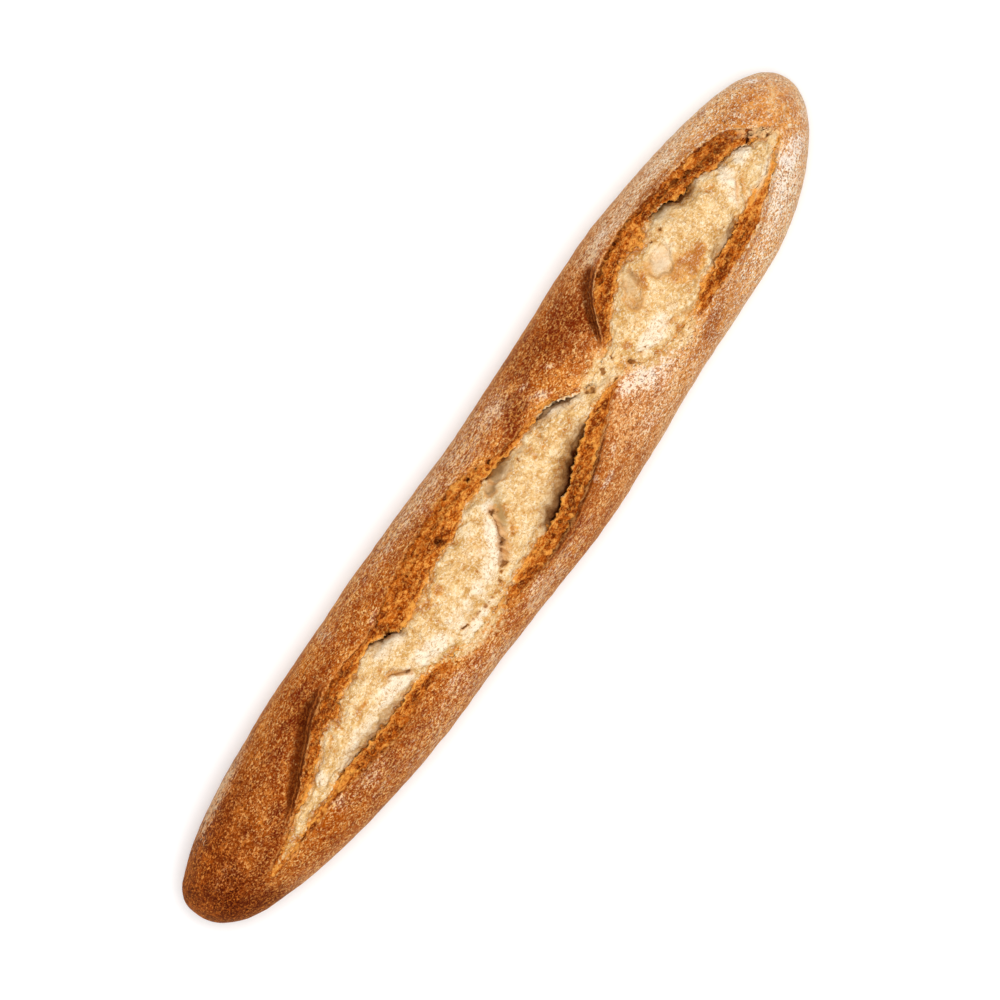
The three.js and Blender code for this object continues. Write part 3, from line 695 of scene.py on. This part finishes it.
def masks_at(row, zone, f, side, y, brown_and_shade):
    """What each finish of the surface is like at a place, painted shade and shadow among them."""
    lip = row.lips[side]
    top = zone not in ("base", "side")
    opened = soft_step(row.gape, 0.3, 1.6)
    banded = soft_step(lip.band, 0.5, 2) * row.torn
    beyond = SHUT * soft_step(row.past, -2, 3)
    closing = NEARLY_SHUT * (1 - soft_step(row.gape, 0.8, 3.2))
    in_mouth = min(row.lips[LEFT].mouth - y, y - row.lips[RIGHT].mouth) - beyond - closing
    in_band = min(row.lips[LEFT].ridge - y, y - row.lips[RIGHT].ridge) - beyond
    # Painted shade under each lip, darkest at the mouth and spread wider on the right side.
    pockets = [
        min(edge.pocket / DARKEST_POCKET, 1)
        * fading(abs(y - edge.mouth), SHADE_WIDTH[edge.side], SHADE_POWER)
        for edge in row.lips.values()
    ]
    # Painted shadow in a valley: darkest a little outside the ridge, fading towards the valley's outer
    # side.
    valley_shadow = soft_step(f, DARK_STARTS - DARK_WIDENS * lip.valley, DARK_FULL)
    valley_shadow *= 1 - soft_step(f, DARK_FADES, DARK_ENDS)
    valley_shadow = min(DARK_GAIN * valley_shadow, 1) * min(lip.valley / DARKEST_VALLEY, 1)
    masks = {
        "crumb": opened if zone == "crumb" else 0,
        "torn": {"torn": banded * lip.firm, "pocket": opened}.get(zone, 0),
        "inward": {"torn": f, "pocket": 1, "crumb": 1}.get(zone, 0),
        "in_mouth": clamp(in_mouth, FAR_FROM_MOUTH, DEEP_IN_MOUTH) if top else FAR_FROM_MOUTH,
        "in_band": clamp(in_band, FAR_FROM_BAND, DEEP_IN_BAND) if top else FAR_FROM_BAND,
        "firm": lip.firm,
        "shade": max(pockets) if zone in ("crumb", "pocket") else 0,
        "dent": brown_and_shade,
        "valley": valley_shadow if zone == "fold" else 0,
    }
    for name, spots in row.spots.items():
        masks[name] = 0 if zone == "base" else sum(oval(spot, row.x, y) for spot in spots)
    return masks


def column_of(vertex):
    """The column of the flat sheet that a point lies on, counted from the left."""
    return round((vertex.co.x + 0.5) * ALL_COLUMNS, 3)


def added(name, data):
    """A new object, put in the scene."""
    made = bpy.data.objects.new(name, data)
    bpy.context.scene.collection.objects.link(made)
    return made


def piece(name, shape):
    """A new object with the finished shape as its mesh."""
    mesh = bpy.data.meshes.new(name)
    shape.to_mesh(mesh)
    shape.free()
    return added(name, mesh)


sheet = bmesh.new()
bmesh.ops.create_grid(sheet, x_segments=ALL_COLUMNS, y_segments=ROWS, size=0.5)
over_slashes = [
    edge for edge in sheet.edges
    if all(COARSE_COLUMNS <= column_of(v) <= ALL_COLUMNS - COARSE_COLUMNS for v in edge.verts)
]
bmesh.ops.subdivide_edges(sheet, edges=over_slashes, cuts=1, use_grid_fill=True)
MASKS = [
    "crumb", "torn", "inward", "in_mouth", "in_band", "firm", "shade", "dent", "valley", "relief", *SPOTS,
]
for name in MASKS:
    sheet.verts.layers.float.new(name)
layers = {name: sheet.verts.layers.float[name] for name in MASKS}
rows = {}
for vertex in sheet.verts:
    s = round(2 * vertex.co.y, 6)
    if s not in rows:
        rows[s] = Row(station(s))
    row = rows[s]
    zone, f, side = zone_of(column_of(vertex))
    y, z = skin_point(row, zone, f, side)
    brown_and_shade = 0
    if zone not in ("base", "side"):
        (hollow, in_hollow), (seam, in_seam) = hollow_at(row.x, y), seam_at(row.x, y)
        z -= hollow + seam
        brown_and_shade = max(in_hollow, in_seam)
    for name, amount in masks_at(row, zone, f, side, y, brown_and_shade).items():
        vertex[layers[name]] = amount
    vertex.co = Vector((row.x, y, z))
across = [vertex.co.y for vertex in sheet.verts]
middle = (min(across) + max(across)) / 2
bmesh.ops.remove_doubles(sheet, verts=sheet.verts, dist=SAME_PLACE)
bmesh.ops.recalc_face_normals(sheet, faces=sheet.faces)
sheet.normal_update()
lifts = [
    lift_at(v.co, {name: v[layers[name]] for name in MASKS}) * soft_step(v.co.z, *ROUGH_FROM)
    for v in sheet.verts
]
for vertex, lift in zip(sheet.verts, lifts):
    vertex.co += vertex.normal * lift
    vertex[layers["relief"]] = lift
bmesh.ops.translate(sheet, verts=sheet.verts, vec=(0, -middle, 0))
bmesh.ops.scale(sheet, verts=sheet.verts, vec=(MM, MM, MM))
for face in sheet.faces:
    face.smooth = True
loaf = piece("loaf", sheet)


class Bake:
    """A number or colour that varies over the loaf: the output of a shader node."""

    def __init__(self, tree, socket=None):
        self.tree = tree
        self.socket = socket

    def node(self, kind, settings=None, values=None, output=0):
        made = self.tree.nodes.new(kind)
        for name, value in (settings or {}).items():
            setattr(made, name, value)
        for name, value in (values or {}).items():
            if isinstance(value, Bake):
                self.tree.links.new(value.socket, made.inputs[name])
            else:
                made.inputs[name].default_value = value
        return Bake(self.tree, made.outputs[output])

    def math(self, operation, a, b):
        return self.node("ShaderNodeMath", dict(operation=operation), {0: a, 1: b})

    def __add__(self, other):
        return self.math("ADD", self, other)

    def __mul__(self, other):
        return self.math("MULTIPLY", self, other)

    def __sub__(self, other):
        return self.math("SUBTRACT", self, other)

    def __rsub__(self, other):
        return self.math("SUBTRACT", other, self)

    __radd__ = __add__
    __rmul__ = __mul__

    def __abs__(self):
        return self.math("ABSOLUTE", self, 0)

    def step(self, start, end):
        """0 where this is below start, 1 above end, and smooth between."""
        values = {"Value": self, "From Min": start, "From Max": end}
        return self.node("ShaderNodeMapRange", dict(interpolation_type="SMOOTHSTEP"), values)

    def mix(self, a, b):
        """From colour a where this is 0 to colour b where it is 1."""
        settings = dict(data_type="RGBA", clamp_factor=True)
        return self.node("ShaderNodeMix", settings, {0: self, 6: a, 7: b}, output=2)

    def darken(self, colour, share):
        """The colour, and where this is 1 only a share of its red, green and blue."""
        settings = dict(data_type="RGBA", clamp_factor=True, blend_type="MULTIPLY")
        return self.node("ShaderNodeMix", settings, {0: self, 6: colour, 7: (*share, 1)}, output=2)


STUDIO_LIGHT = 1.28
BUMP_HEIGHT = 0.0006
DRYNESS = 0.9
DULL_SHINE = 0.03


def baked(red, green, blue):
    """A colour as it is seen in the studio, on the scale of 0 to 255, as the shader's light values."""
    return tuple(((c / 255 + 0.055) / 1.055) ** 2.4 / STUDIO_LIGHT for c in (red, green, blue)) + (1,)


crust = bpy.data.materials.new("baked_crust")
crust.use_nodes = True
tree = crust.node_tree
tree.nodes.clear()
pen = Bake(tree)
place = pen.node("ShaderNodeTexCoord", output="Object")


def grain(size, detail=2, stretch=(1, 1, 1), roughness=0.5, twist=0):
    """Noise from 0 to 1 in grains of about size millimetres, drawn out along the axes by stretch."""
    scale = tuple(1 / (size * MM * s) for s in stretch)
    drawn = pen.node("ShaderNodeMapping", dict(vector_type="POINT"), {"Vector": place, "Scale": scale})
    values = {"Vector": drawn, "Scale": 1, "Detail": detail, "Roughness": roughness, "Distortion": twist}
    return pen.node("ShaderNodeTexNoise", {}, values)


def strands(size, stretch, twist, patches):
    """1 along thin curled lines about size millimetres apart, in some patches, and 0 between them."""
    lines = 1 - abs(grain(size, 0, stretch, 0.5, twist) - 0.5).step(0.01, 0.07)
    return lines * grain(patches, 1).step(0.46, 0.58)


def mask(name):
    return pen.node("ShaderNodeAttribute", dict(attribute_name=name), output="Fac")


def measured(axis):
    return pen.node("ShaderNodeSeparateXYZ", {}, {"Vector": place}, output=axis)


torn, inward, in_mouth, in_band, firm = [
    mask(name) for name in ("torn", "inward", "in_mouth", "in_band", "firm")
]
shade, dent, valley, relief = [mask(name) for name in ("shade", "dent", "valley", "relief")]
flour, dusty, scorched = [mask(name) for name in ("flour", "dusty", "scorched")]
browned, smooth, shaded = [mask(name) for name in ("browned", "smooth", "shaded")]
lengthwise, crosswise, height = measured("X"), measured("Y"), measured("Z")
slanting = lengthwise - crosswise
pale = slanting.step(0.03, 0.15)
sand = grain(0.9, 2, (1.3, 1, 1), 0.8)
flecks = grain(1.1, 1, (1.3, 1, 1), 0.5, 0.5)
wisps = grain(3.6, 3, (1.7, 1, 1), 0.6, 0.6)
threads = strands(1.3, (1.4, 1, 1), 0.6, 1.9)
wires = strands(1.7, (1, 1.3, 1), 0.8, 2.9)
blotches = grain(6, 3, (1.4, 1, 1), 0.6)
busy = blotches.step(0.36, 0.6)
flakes = grain(0.75, 1, (1.5, 1, 1), 0.5, 0.5).step(0.56, 0.68)
pores = 1 - grain(0.8, 1, (1.3, 1, 1), 0.5, 0.8).step(0.32, 0.44)
# Dots of painted shade in the pinholes along the seams.
pitted = (dent * (flecks * 6 - 2)).step(0.25, 0.8)


def toned(tone, dark, middle, light):
    """From the dark colour where the tone is 0, through the middle one at 0.5, to the light one at 1."""
    return (tone * 2 - 1).mix((tone * 2).mix(dark, middle), light)


def lengthways(dark_end, middle, pale_end):
    """A colour of the crust that changes from the dark end to the pale end."""
    there = slanting.step(-0.2, -0.13).mix(baked(*dark_end), baked(*middle))
    return pale.mix(there, baked(*pale_end))


def layered(colour, layers):
    """The colour under layers of others, each with how much of it covers what is below."""
    for amount, over in layers:
        colour = amount.mix(colour, over)
    return colour


# The crust: red-brown at the dark end, orange-brown along the middle and light tan at the other end,
# with fine light blisters and dark specks, and flour left on its flanks, which are also paler low down,
# partly as a painted sheen. Valleys get painted shadow, and the flaps' ridges a painted highlight.
soft = 1 - firm
warm = soft * in_mouth.step(-9, 1)
tone = (wisps - 0.5) * 1.3 + (blotches - 0.5) * 1.2 + (flecks - 0.5) * 0.5 + 0.45
crust_colour = toned(
    tone - scorched * 0.22 + warm * 0.5,
    lengthways((84, 20, 0), (130, 42, 0), (176, 90, 22)),
    lengthways((124, 46, 0), (180, 84, 0), (238, 160, 74)),
    lengthways((188, 90, 10), (230, 142, 48), (255, 226, 170)),
)
# Low on the flanks the crust is paler, partly as less baked and floured crust, partly as a painted sheen.
flank_flour_and_sheen = 1 - height.step(0.014, 0.036)
streaks = grain(1.3, 2, (2.6, 1, 1), 0.6, 1) * 0.6 + flecks * 0.4
veil = (dusty * 0.27 + flank_flour_and_sheen * 0.1 + streaks - 0.66).step(0, 0.22) * (1 - valley)
specks = (flour * 0.4 + (sand - 0.5) * 2.4 + (flecks - 0.5) + (wisps - 0.5) - 0.3).step(0, 0.36)
gritty = (busy * 1.6 + dusty * 0.6 + 1.1) * (1 - smooth * 0.7)
blistered = 1 - smooth * 0.5
crust_colour = layered(crust_colour, [
    (threads * 0.6 + wires * 0.4, lengthways((220, 124, 42), (252, 182, 98), (255, 238, 200))),
    (wires * pale * 0.6, baked(164, 88, 34)),
    (veil * 0.8 + dusty * 0.04, baked(252, 224, 186)),
    (flank_flour_and_sheen * (pale * 0.26 + 0.34), lengthways((214, 146, 88), (242, 204, 160), (255, 226, 192))),
    (
        specks * flour.step(0, 0.4) * 0.85 + flour.step(0.3, 1.3) * 0.12,
        lengthways((232, 176, 118), (250, 222, 190), (255, 238, 222)),
    ),
    ((0.5 - sand) * gritty, lengthways((44, 8, 0), (84, 24, 0), (124, 62, 20))),
    ((sand - 0.5) * gritty, lengthways((208, 114, 38), (255, 192, 112), (255, 240, 208))),
    (
        pores * (busy * 0.25 + pale * 0.3 + 0.4) * blistered,
        lengthways((60, 12, 0), (96, 32, 0), (134, 70, 24)),
    ),
    (
        flakes * (busy * 0.3 + pale * 0.25 + 0.45) * blistered,
        lengthways((228, 146, 68), (255, 208, 138), (255, 244, 220)),
    ),
])
# Scorched crust is darker red-brown; spots that lie under a flap or in a valley are painted shadow.
crust_colour = (scorched * 0.5).darken(crust_colour, (0.72, 0.52, 0.3))
# Painted shadow in the valleys outside the flaps, with orange-brown flecks kept in it.
valley_shade = valley.step(0.02, 1)
valley_shadow_amount = valley_shade * ((wisps - 0.5) * 0.8 + (sand - 0.5) * 1.2 + 0.92)
crust_colour = valley_shadow_amount.darken((valley_shade * 0.3).mix(crust_colour, baked(150, 74, 16)), (0.2, 0.09, 0.03))
leaf_line = 1 - abs(in_band + 1.9 + (wisps - 0.5) * 1.6).step(0.1, 0.5)
# A painted highlight along the ridge of each firm flap.
ridge_highlight = 1 - abs(in_band + (flecks - 0.5) * 2).step(0.15, 0.7)
crust_colour = layered(crust_colour, [
    (leaf_line * valley.step(0.03, 0.3) * flecks.step(0.36, 0.5) * 0.5, baked(200, 112, 46)),
    (valley_shade * (sand - 0.5) * 2, baked(206, 112, 40)),
    # Painted shade in the holes and seams.
    (pitted * 0.3 + dent * 0.75, baked(84, 30, 0)),
    (
        ridge_highlight * firm * wisps.step(0.36, 0.5) * 0.45,
        lengthways((214, 136, 66), (244, 172, 96), (246, 200, 140)),
    ),
])

# The torn bands: orange-brown fibres, darkest along the outer edge, where a crevice has painted shade,
# and yellower towards the crumb.
fibres = grain(1.9, 2, (2, 1, 1), 0.6, 1)
light_tatters = grain(3, 3, (1, 1, 1), 0.6).step(0.46, 0.54)
lit = in_mouth.step(-2.6, -0.4) * 0.42 - in_mouth.step(-7, -2.5) * 0.16
# The relief is painted into the tone: shade in its low places, light on its high ones.
tone = lit + relief * 0.32 + (wisps - 0.5) * 1.1 + (fibres - 0.5) * 1.8 + (sand - 0.5) * 1.2 + 0.48
fringe = (in_mouth * 0.2 + (wisps - 0.5) * 2 + (flecks - 0.5) * 0.8 - scorched * 0.4).step(-0.32, 0)
pits = 1 - (fibres * 0.5 + flecks * 0.5).step(0.34, 0.42)
# Painted shade in the crevice just inside the ridge.
crack_shade = (1 - (in_band + (wisps - 0.5) * 4).step(0.6, 2.4)) * firm * blotches.step(0.38, 0.62)
# The torn band is darker in the scorching spots too, some of them painted shadow under the flaps.
torn_colour = toned(tone - scorched * 0.36, baked(118, 42, 0), baked(190, 90, 8), baked(238, 160, 72))
torn_colour = layered(torn_colour, [
    (threads * (inward * 0.35 + 0.2), baked(250, 186, 98)),
    (wires * 0.4, baked(116, 40, 0)),
    (fringe * (fibres - 0.1), baked(242, 164, 66)),
    (0.7 - sand * 1.4, baked(116, 42, 0)),
    (sand * 1.4 - 0.7, baked(248, 176, 84)),
    (pits * 0.45, baked(104, 34, 0)),
    (pores * 0.4, baked(112, 38, 0)),
    (flakes * (inward * 0.4 + 0.25), baked(248, 178, 88)),
])
torn_colour = (crack_shade * 0.35).darken(torn_colour, (0.4, 0.24, 0.14))
torn_colour = layered(torn_colour, [
    # Painted shade in the holes and seams.
    (pitted * 0.3 + dent * 0.75, baked(70, 24, 0)),
    ((0 - browned).step(0.3, 1.1) * inward.step(0.5, 0.95), baked(246, 212, 160)),
    (lengthwise.step(0.164, 0.18) * light_tatters, baked(248, 204, 146)),
])

# The crumb: pale cream with a sandy grain, golden where it caught the heat, smooth and greyish where a
# bubble's skin is left, and painted shade far down under the lips, in hollows and seams and under folds.
clouds = grain(9, 3, (1.3, 1, 1), 0.6)
# Mottled tone, with the relief painted into it: shade in its low places, light on its high ones.
mottle_and_relief_shade = (clouds - 0.5) * 1.7 + (wisps - 0.5) + relief * 0.45
tone = mottle_and_relief_shade + (flecks - 0.5) * 0.8 + 0.33 - browned * 0.2
folds = (1 - abs(grain(11, 2, (1, 1, 1), 0.6, 1) - 0.5).step(0, 0.03)) * wisps.step(0.4, 0.6)
edge_heat = (1 - in_mouth.step(-0.5, 2.6)) * firm * 0.38
heat = browned * 0.35 + browned.step(0.5, 1.2) * 0.45 + edge_heat
gold = (heat + grain(2.6, 4, (1, 1, 1), 0.7, 1) * 1.5 - mottle_and_relief_shade * 0.35 - 0.8).step(0, 0.32)
golden = tone + 0.08 - browned.step(0.8, 2) * 0.25
# Palest crumb, partly a painted highlight where the relief stands high.
pale_lobes_and_highlight = ((0 - browned) * 0.7 + mottle_and_relief_shade * 0.6).step(0.15, 0.9)
crumb_colour = toned(tone, baked(210, 158, 84), baked(239, 198, 136), baked(255, 229, 184))
crumb_colour = layered(crumb_colour, [
    (folds * 0.5, baked(206, 146, 80)),
    (
        gold * (0.85 - smooth * 0.6),
        toned(golden, baked(180, 96, 20), baked(228, 156, 66), baked(250, 198, 120)),
    ),
    (pale_lobes_and_highlight * 0.7, baked(255, 240, 216)),
    (smooth * 0.5, baked(236, 212, 176)),
    (threads * (0.65 - smooth * 0.4 - gold * 0.2), baked(255, 242, 210)),
    (wires * (0.65 - smooth * 0.4), baked(196, 140, 70)),
    ((0.5 - sand) * (1.8 - smooth), baked(168, 116, 58)),
    ((sand - 0.5) * (1.1 - gold * 0.4), baked(255, 242, 210)),
    (pores * (0.6 - smooth * 0.4), baked(184, 128, 62)),
    (flakes * (0.45 - smooth * 0.3 - gold * 0.15), baked(255, 244, 216)),
    # Painted shade on the shaded spots, under folds and inside hollows.
    (shaded * 0.8, baked(168, 132, 82)),
    (dent.step(0, 0.3) * 0.5, baked(222, 152, 72)),
])
# Painted shade down in hollows, holes and seams, with dots of it in the pinholes.
crumb_colour = (dent.step(0.2, 1) * 0.9).darken(crumb_colour, (0.46, 0.33, 0.2))
crumb_colour = (pitted * dent.step(0.3, 0.8) * 0.3).mix(crumb_colour, baked(112, 62, 20))
# Painted shade under the lips, darker still next to the mouth.
crumb_colour = shade.step(0.03, 0.55).darken(crumb_colour, (0.46, 0.32, 0.2))
crumb_colour = shade.step(0.4, 0.95).darken(crumb_colour, (0.24, 0.1, 0.04))

# The three meet along frayed edges, which are wide and faint where the crumb has no lip.
frayed = (grain(2.4, 4, (1, 1, 1), 0.7) - 0.5) * (soft * 14 + 5)
in_tear = ((in_band + frayed) * (1 - soft * 0.8)).step(-0.3, 0.5)
in_crumb = ((in_mouth + frayed) * (1 - soft * 0.85) + soft * 0.6).step(-0.3, 0.5)
colour = layered(crust_colour, [(in_tear, torn_colour), (in_crumb, crumb_colour)])

bumps = sand * 0.3 + flecks * 0.4 + wisps * 0.7 + fibres * torn
bump = pen.node(
    "ShaderNodeBump", {}, {"Strength": 1, "Distance": BUMP_HEIGHT, "Height": bumps}, output="Normal"
)
surface = pen.node(
    "ShaderNodeBsdfPrincipled",
    {},
    {"Base Color": colour, "Roughness": DRYNESS, "Specular IOR Level": DULL_SHINE, "Normal": bump},
)
finish = tree.nodes.new("ShaderNodeOutputMaterial")
tree.links.new(surface.socket, finish.inputs["Surface"])
loaf.data.materials.append(crust)
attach(loaf, "root")
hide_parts("baguette")

# ---------------------------------------------------------------------------------------------
# The floor: a plain sheet of pale board at the level that the loaf rests on, wide enough that no
# edge of it shows. It isn't part of the loaf.
# ---------------------------------------------------------------------------------------------
FLOOR_SIZE = 12
BOARD_COLOUR = (0.92, 0.92, 0.92, 1)
BOARD_ROUGHNESS = 0.9
board = bmesh.new()
bmesh.ops.create_grid(board, x_segments=1, y_segments=1, size=FLOOR_SIZE / 2)
floor = piece("floor", board)
pale_board = bpy.data.materials.new("pale_board")
pale_board.use_nodes = True
board_finish = pale_board.node_tree.nodes["Principled BSDF"]
board_finish.inputs["Base Color"].default_value = BOARD_COLOUR
board_finish.inputs["Roughness"].default_value = BOARD_ROUGHNESS
floor.data.materials.append(pale_board)

# ---------------------------------------------------------------------------------------------
# Light and camera: a large soft lamp above the loaf's right side, pale light from all round, and
# a long lens straight above, turned so that the loaf runs from lower left to upper right.
# ---------------------------------------------------------------------------------------------
SKY_STRENGTH = 0.62
LAMP_WIDTH = 1.5
LAMP_POWER = 25
LAMP_PLACE = (0.03, -0.08, 1.5)
sky = bpy.data.worlds.new("studio")
sky.use_nodes = True
sky.node_tree.nodes["Background"].inputs["Color"].default_value = (1, 1, 1, 1)
sky.node_tree.nodes["Background"].inputs["Strength"].default_value = SKY_STRENGTH
bpy.context.scene.world = sky
lamp_data = bpy.data.lights.new("soft_lamp", "AREA")
lamp_data.shape = "DISK"
lamp_data.size = LAMP_WIDTH
lamp_data.energy = LAMP_POWER
lamp = added("soft_lamp", lamp_data)
lamp.location = LAMP_PLACE
lamp.rotation_euler = (-lamp.location).to_track_quat("-Z", "Y").to_euler()

CAMERA_HEIGHT = 5
VIEW_WIDTH = 0.392
VIEW_CENTRE = (0.0006, 0.0037)
TURN = math.radians(54.818)
FARTHEST_SEEN = 20
camera_data = bpy.data.cameras.new("camera")
camera_data.lens = camera_data.sensor_width * CAMERA_HEIGHT / VIEW_WIDTH
camera = added("camera", camera_data)
camera.location = (*VIEW_CENTRE, CAMERA_HEIGHT)
camera.rotation_euler = (0, 0, -TURN)
camera_data.clip_end = FARTHEST_SEEN
bpy.context.scene.camera = camera
bpy.context.scene.view_settings.view_transform = "Standard"
